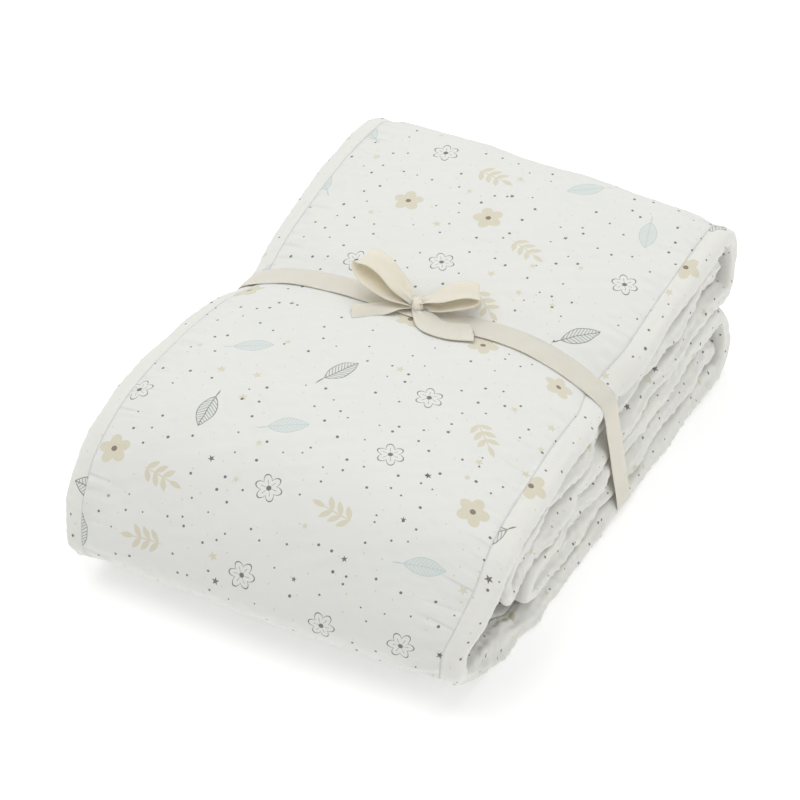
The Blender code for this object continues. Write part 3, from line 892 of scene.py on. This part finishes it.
def either(mask, *others):
    """The largest of several masks."""
    for other in others:
        mask = calculate("MAXIMUM", mask, other)
    return mask


def mix(share, a, b):
    """Colour a where share is 0 and b where it is 1."""
    inputs = {"Factor": share, "A": a, "B": b}
    return result(share.tree, "ShaderNodeMix", "Result", inputs, data_type="RGBA")


def below(distance, edge, soft):
    """1 where distance is under edge - soft, eased to 0 at edge + soft."""
    inputs = {"Value": distance, "From Min": edge - soft, "From Max": edge + soft,
              "To Min": 1.0, "To Max": 0.0}
    return result(distance.tree, "ShaderNodeMapRange", "Result", inputs, interpolation_type="SMOOTHSTEP")


def noise(vector, **inputs):
    """Noise in 0..1, read at the vector."""
    return result(vector.tree, "ShaderNodeTexNoise", "Fac", {"Vector": vector, **inputs})


def ridge(vector, **inputs):
    """|noise - 0.5|: sharp valleys along the noise's middle lines."""
    return abs(noise(vector, **inputs) - 0.5)


def group(name, inputs, outputs):
    """A new node group with named sockets: its inputs as Values, and its output node."""
    tree = bpy.data.node_groups.new(name, "ShaderNodeTree")
    for way, sockets in (("INPUT", inputs), ("OUTPUT", outputs)):
        for label, kind in sockets.items():
            tree.interface.new_socket(label, in_out=way, socket_type="NodeSocket" + kind)
    given = node(tree, "NodeGroupInput", {}).outputs
    return [Value(given[label]) for label in inputs], node(tree, "NodeGroupOutput", {})


# %% [markdown]
# ## The weave
# Plain cotton: threads go over and under each other in turn. At this size a photograph
# shows it only as a fine grain, so it is bump, in a group that both cloths share.

# %% Weave
def weave_group():
    """Each thread is half a sine: |sin(pi u)| where floor u + floor v is odd, else |sin(pi v)|."""
    (cloth, pitch), made = group("plain_weave", {"Cloth": "Vector", "Pitch": "Float"}, {"Height": "Float"})
    x, y, _ = split(cloth)
    u, v = x / pitch, y / pitch
    odd = calculate("MODULO", abs(calculate("FLOOR", u) + calculate("FLOOR", v)), 2.0)
    height = wave(u * math.pi) * odd + wave(v * math.pi) * (1.0 - odd)
    return fill(made, {"Height": height}).id_data


WEAVE = weave_group()
print("weave:", len(WEAVE.nodes), "nodes")

# %% [markdown]
# ## The print's motifs
# The print is generic: sprigs, veined leaves, small flowers, stars and dots, loosely
# scattered. Each motif is a mask about its own middle. Voronoi cells give the middles, and
# random numbers for each, with no picture file.

# %% Motifs
SOFT = 0.00018          # half the width of a printed edge
MOTIF = 1.22            # the large motifs are drawn smaller by this
MOTIF_CELLS = (0.060, 0.50, 3)          # their spacing, randomness and seed


def scatter(cloth, spacing, random, seed, turn=True):
    """Cells: the vector from the nearest middle, in metres and turned by a random angle;
    three random numbers of that cell; and its middle."""
    offset = (seed * 1.37, seed * 0.73, 0.0)
    moved = cloth + offset
    inputs = {"Vector": moved, "Scale": 1.0 / spacing, "Randomness": random}
    cells = node(cloth.tree, "ShaderNodeTexVoronoi", inputs, voronoi_dimensions="2D", feature="F1").outputs
    middle, numbers = Value(cells["Position"]), split(Value(cells["Color"]))
    local = moved - middle
    if turn:
        inputs = {"Vector": local, "Angle": numbers[0] * (2 * math.pi)}
        local = result(cloth.tree, "ShaderNodeVectorRotate", 0, inputs, rotation_type="Z_AXIS")
    return local, numbers, middle - offset


def clear(middle, distance):
    """1 where a small print's middle is further than `distance` from any large motif's."""
    return length(scatter(middle, *MOTIF_CELLS, turn=False)[0]) > distance


def chosen(value, low, high):
    """1 where a random value lies between low and high."""
    return (value > low) * (value < high)


def polar(local):
    """Distance from the middle and angle about it."""
    x, y, _ = split(local)
    return length(local), calculate("ARCTAN2", y, x)


def petals(local, count, reach, notch):
    """A flower: inside where r < reach * (1 - notch + notch * |cos(count * angle / 2)|)."""
    r, angle = polar(local)
    lobe = abs(calculate("COSINE", angle * (count / 2)))
    return below(r - (lobe * notch + (1 - notch)) * reach, 0.0, SOFT)


def star(local, reach):
    """A five-pointed star: r < reach / (1 + 2.4 * angle), the angle folded into 0..36 degrees."""
    r, angle = polar(local)
    fold = calculate("PINGPONG", angle + math.pi, math.pi / 5)
    return below(r - reach / (1.0 + fold * 2.4), 0.0, SOFT)


def leaf(x, y, long, wide, at=(0.0, 0.0), angle=0.0):
    """A leaf: |v| < wide * (1 - (u / half length)^2), with u along it and v across it."""
    c, s = math.cos(angle), math.sin(angle)
    dx, dy = x - at[0], y - at[1]
    u, v = dx * c + dy * s, dy * c - dx * s
    return below(abs(v) - (1.0 - (u / (long / 2))**2.0) * wide, 0.0, SOFT), u, v


def sprig(x, y):
    """A stem with three pairs of slanting leaflets, mirrored by |y|, and one at its tip."""
    pairs = [leaf(x, abs(y), 0.0125, 0.0024, (p, 0.0048), math.radians(52))[0]
             for p in (-0.0085, -0.0005, 0.0075)]
    return either(leaf(x, y, 0.034, 0.0007)[0], *pairs, leaf(x, y, 0.0125, 0.0022, (0.0165, 0.0))[0])


def frond(x, y):
    """A veined leaf: its rim, midrib and stalk, and veins |sin(pi (u - 0.8 |v|) / 3 mm)|."""
    blade, u, v = leaf(x, y, 0.034, 0.0078)
    veins = below(wave((u - abs(v) * 0.8) * (math.pi / 0.0030)), 0.30, 0.14)
    inked = blade * either(veins, below(abs(v), 0.00035, SOFT))
    rim = blade - leaf(x, y, 0.0325, 0.0071)[0]
    return either(inked, rim, leaf(x, y, 0.010, 0.0006, (-0.0205, 0.0))[0]), blade


def bloom(local):
    """A drawn flower: a rim of six petals, its heart, and spokes where |sin(3 angle)| is small."""
    r, angle = polar(local)
    inside = petals(local, 6, 0.0108, 0.42)
    spokes = below(wave(angle * 3.0), 0.10, 0.05) * below(r, 0.0068, 0.0006) * inside
    return either(petals(local, 6, 0.0118, 0.42) - inside, below(r, 0.0021, SOFT), spokes)


print(f"large motifs: one in about {(MOTIF_CELLS[0] * 100)**2:.0f} square centimetres")

# %% [markdown]
# ## The print's colours
# Thin ink over nearly white cotton: sand, a misty blue, bark brown and coal. The layers
# are mixed one over the other, and each large cell's random number picks its motif.

# %% Print
SAND = (0.66, 0.615, 0.465, 1.0)
MIST = (0.50, 0.61, 0.60, 1.0)
BARK = (0.16, 0.11, 0.08, 1.0)
COAL = (0.06, 0.055, 0.055, 1.0)
COVER = 0.82            # how much of the ground the ink hides
TINT = 0.30             # share of that where it only tints a leaf
STAR_CELLS, STAR_GROWTH = (0.027, 0.75, 8), 0.0013      # and how much the largest star is larger
DOT_RANDOM = 0.85
STAR_CLEAR, DOT_CLEAR = 0.0190, 0.0172  # how far small prints keep from a large motif


def print_group():
    """The ground, covered in turn by mask * COVER of each layer's colour."""
    (cloth, colour), made = group("scattered_print", {"Cloth": "Vector", "Ground": "Color"},
                                  {"Color": "Color"})
    local, (_, pick, _), _ = scatter(cloth, *MOTIF_CELLS)
    local = local * (MOTIF, MOTIF, 1.0)
    x, y, _ = split(local)
    veined, blade = frond(x, y)
    layers = [      # mask, random number, the range of it that picks this layer, colour
        (sprig(x, y), pick, 0.00, 0.30, SAND),
        (blade * TINT, pick, 0.30, 0.55, MIST),
        (veined, pick, 0.30, 0.45, MIST),
        (veined, pick, 0.45, 0.55, BARK),
        (bloom(local), pick, 0.55, 0.72, COAL),
        (petals(local, 5, 0.0135, 0.38), pick, 0.72, 0.95, SAND),
        (below(length(local), 0.0024, SOFT), pick, 0.72, 0.95, BARK),
    ]
    small, (_, kind, size), middle = scatter(cloth, *STAR_CELLS)
    free = clear(middle, STAR_CLEAR)
    for reach, low, high, ink in ((0.0024, 0.0, 0.27, SAND), (0.0018, 0.27, 0.37, COAL)):
        layers.append((star(small, reach + size * STAR_GROWTH) * free, kind, low, high, ink))
    for spacing, seed, radius, ink in ((0.0150, 5, 0.00100, COAL), (0.0140, 6, 0.00065, SAND)):
        dots, (_, kind, size), middle = scatter(cloth, spacing, DOT_RANDOM, seed, turn=False)
        dot = below(length(dots) - size * (radius * 0.5), radius * 0.6, SOFT)
        layers.append((dot * clear(middle, DOT_CLEAR), kind, 0.0, 0.75, ink))
    for mask, number, low, high, ink in layers:
        colour = mix(mask * chosen(number, low, high) * COVER, colour, ink)
    return fill(made, {"Color": colour}).id_data


PRINT = print_group()
print("print:", len(PRINT.nodes), "nodes")

# %% [markdown]
# ## The two cloths
# Both are matt, with a little sheen, and thin enough for some light to pass through. The
# cotton has the print, the weave, fine creases, and puckers that run in from its seams.
# The tape is unbleached twill: ribs aslant, a firmer edge and a slightly uneven colour.

# %% Cloth helpers
CLOTH = {"Metallic": 0.0, "Sheen Roughness": 0.6, "Specular IOR Level": 0.25,
         "Subsurface Radius": (1.0, 0.86, 0.62), "Subsurface Scale": 0.0025}
COTTON = {**CLOTH, "Roughness": 0.86, "Sheen Weight": 0.25, "Subsurface Weight": 0.25}
TWILL = {**CLOTH, "Roughness": 0.90, "Sheen Weight": 0.30, "Subsurface Weight": 0.70}


def principled(name, values):
    """A material with constants on its shader's own sockets, and that shader."""
    material = bpy.data.materials.new(name)
    material.use_nodes = True
    return material, fill(material.node_tree.nodes["Principled BSDF"], values)


def cloth_of(shader):
    """The cloth's own coordinates: length, breadth, 0."""
    return result(shader.id_data, "ShaderNodeAttribute", "Vector", {}, attribute_name="cloth")


def woven(cloth, pitch):
    """The height of threads of this pitch."""
    inputs = {"Cloth": cloth, "Pitch": pitch}
    return result(cloth.tree, "ShaderNodeGroup", "Height", inputs, node_tree=WEAVE)


def bump(height, strength, distance, under=None):
    """Height as bump, on top of the bump that is given as `under`."""
    inputs = {"Height": height, "Strength": strength, "Distance": distance}
    return result(height.tree, "ShaderNodeBump", "Normal", inputs | ({"Normal": under} if under else {}))


def puckers(cloth):
    """Narrow creases that run in from both seams: (1 - valley) * an eased fall from the seam,
    the valleys being those of ridged noise that is long across the strip."""
    valley = below(ridge(cloth * (1.0, 0.16, 1.0), Scale=44.0, Detail=1.0), 0.035, 0.035)
    return (1.0 - valley) * below(SEAM - abs(split(cloth)[1]), 0.018, 0.016)


print("roughness of cotton and tape:", COTTON["Roughness"], TWILL["Roughness"])

# %% Cloth materials
# The rolls' ground is a little warmer than the panel's. That warmth is painted shade: the tan of light
# bounced in the recesses between the layers.
GROUND, ROLL_GROUND_PAINTED_SHADE = (0.775, 0.78, 0.745, 1.0), (0.785, 0.785, 0.74, 1.0)
UNEVEN = 0.975          # the ground's darker places, as a share of it
TAPE_LIGHT, TAPE_DARK = (0.81, 0.752, 0.635, 1.0), (0.765, 0.702, 0.57, 1.0)
RIB_SHADE, EDGE_SHADE, SHADE = (0.60, 0.54, 0.44, 1.0), (0.70, 0.64, 0.53, 1.0), 0.18
RIB, FIRM_EDGE = 0.0008, 0.0089     # one rib, and where the firm edge starts from the middle


def cotton(name, ground, shift, crease_strength):
    """Printed cotton: print on a nearly white ground, weave, creases and puckers as bump."""
    material, shader = principled(name, COTTON)
    cloth = cloth_of(shader)
    base = mix(noise(cloth, Scale=22.0), tuple(c * UNEVEN for c in ground[:3]) + (1.0,), ground)
    inputs = {"Cloth": cloth + (*shift, 0.0), "Ground": base}
    colour = result(cloth.tree, "ShaderNodeGroup", "Color", inputs, node_tree=PRINT)
    creases = ridge(cloth * (1.0, 0.35, 1.0), Scale=110.0, Detail=4.0, Roughness=0.55)
    fold = bump(creases, crease_strength, 0.0011, bump(woven(cloth, 0.00042), 0.25, 0.00012))
    fill(shader, {"Base Color": colour, "Normal": bump(puckers(cloth), 0.55, 0.0012, fold)})
    return material


def twill_tape(name):
    """Ribs |sin(pi (along + across) / RIB)|, darker between them and at the firm edge."""
    material, shader = principled(name, TWILL)
    cloth = cloth_of(shader)
    along, across, _ = split(cloth)
    rib = wave((along + across) * (math.pi / RIB))
    base = mix(noise(cloth, Scale=60.0), TAPE_DARK, TAPE_LIGHT)
    base = mix((1.0 - rib) * SHADE, base, RIB_SHADE)
    base = mix((1.0 - below(abs(across), FIRM_EDGE, 0.0003)) * SHADE, base, EDGE_SHADE)
    height = rib * 0.7 + woven(cloth, 0.0004) * 0.5
    fill(shader, {"Base Color": base, "Normal": bump(height, 0.35, 0.00018)})
    return material


for obj, material in (
    (panel, cotton("printed_cotton_look", GROUND, (0.0, 0.0), 0.25)),
    # the rolls get the warmer ground, which is painted shade
    (roll_left, cotton("roll_cotton_left_look", ROLL_GROUND_PAINTED_SHADE, (0.41, 0.17), 0.6)),
    (roll_right, cotton("roll_cotton_right_look", ROLL_GROUND_PAINTED_SHADE, (0.93, 0.29), 0.6)),
    (tape, twill_tape("natural_tape_look")),
):
    obj.data.materials.clear()
    obj.data.materials.append(material)
print("materials:", ", ".join(m.name for m in bpy.data.materials))

# %% [markdown]
# ## Riding and replacing
# A row with no joints has one body, "root". Each cloth piece rides on it and stands for
# one solid, which it hides.

# %% Frame
for obj, node, slot in ((panel, "bumper_panel", "printed_cotton"),
                        (roll_left, "edge_roll_left", "roll_cotton_left"),
                        (roll_right, "edge_roll_right", "roll_cotton_right"),
                        (tape, "tie_tape", "natural_tape")):
    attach(obj, "root")
    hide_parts(node)
print("four pieces ride on root")

# %% [markdown]
# ## Floor, light and camera
# A plain white floor that glows a little, as a lit studio sweep does, a large soft light
# from above, a weak one from the right, and a long lens at the photograph's angle.

# %% Floor and lights
WHITE = (1.0, 1.0, 1.0, 1.0)
FLOOR_HALF = 6.0
FLOOR_LOOK = {"Base Color": (0.88, 0.88, 0.88, 1.0), "Roughness": 0.9, "Specular IOR Level": 0.1,
              "Emission Color": WHITE, "Emission Strength": 0.27}


def floor():
    """One large square at Z = 0."""
    mesh = bpy.data.meshes.new("floor")
    a = FLOOR_HALF
    mesh.from_pydata([(-a, -a, 0), (a, -a, 0), (a, a, 0), (-a, a, 0)], [], [(0, 1, 2, 3)])
    mesh.materials.append(principled("floor_white", FLOOR_LOOK)[0])
    obj = place_object("floor", mesh)


def soft_light(name, place, size, power, target=(0.0, 0.0, 0.06)):
    """A square area light that looks at the target."""
    data = bpy.data.lights.new(name, "AREA")
    data.shape, data.size, data.energy = "SQUARE", size, power
    place_object(name, data, place, Vector(target) - Vector(place))


floor()
soft_light("key", (-0.5, 0.15, 2.5), 3.0, 44.0)
soft_light("fill", (2.6, -0.1, 1.2), 2.0, 10.0)
world = bpy.data.worlds.new("soft_world")
bpy.context.scene.world = world
world.use_nodes = True
fill(world.node_tree.nodes["Background"], {"Color": WHITE, "Strength": 0.54})
bpy.context.scene.view_settings.view_transform = "Standard"
print("lights:", ", ".join(light.name for light in bpy.data.lights))

# %% Camera
AZIMUTH, ELEVATION = math.radians(29.3), math.radians(39.5)
DISTANCE, LENS, SENSOR = 2.22, 144.0, 36.0
AIM_HEIGHT, AIM_LEFT, AIM_DOWN = 0.055, 0.010, 0.002    # where the middle of the frame lies


def camera():
    """Back from the target along azimuth and elevation; the target lies near the middle."""
    a, e = AZIMUTH, ELEVATION
    back = Vector((math.sin(a) * math.cos(e), -math.cos(a) * math.cos(e), math.sin(e)))
    right = Vector((math.cos(a), math.sin(a), 0.0))
    target = Vector((0.0, float(OFFSET[1]), AIM_HEIGHT)) - AIM_LEFT * right - AIM_DOWN * back.cross(right)
    data = bpy.data.cameras.new("camera")
    data.lens, data.sensor_width = LENS, SENSOR
    bpy.context.scene.camera = place_object("camera", data, target + back * DISTANCE, -back)


camera()
print(f"camera: {DISTANCE} m away, {LENS:.0f} mm lens")
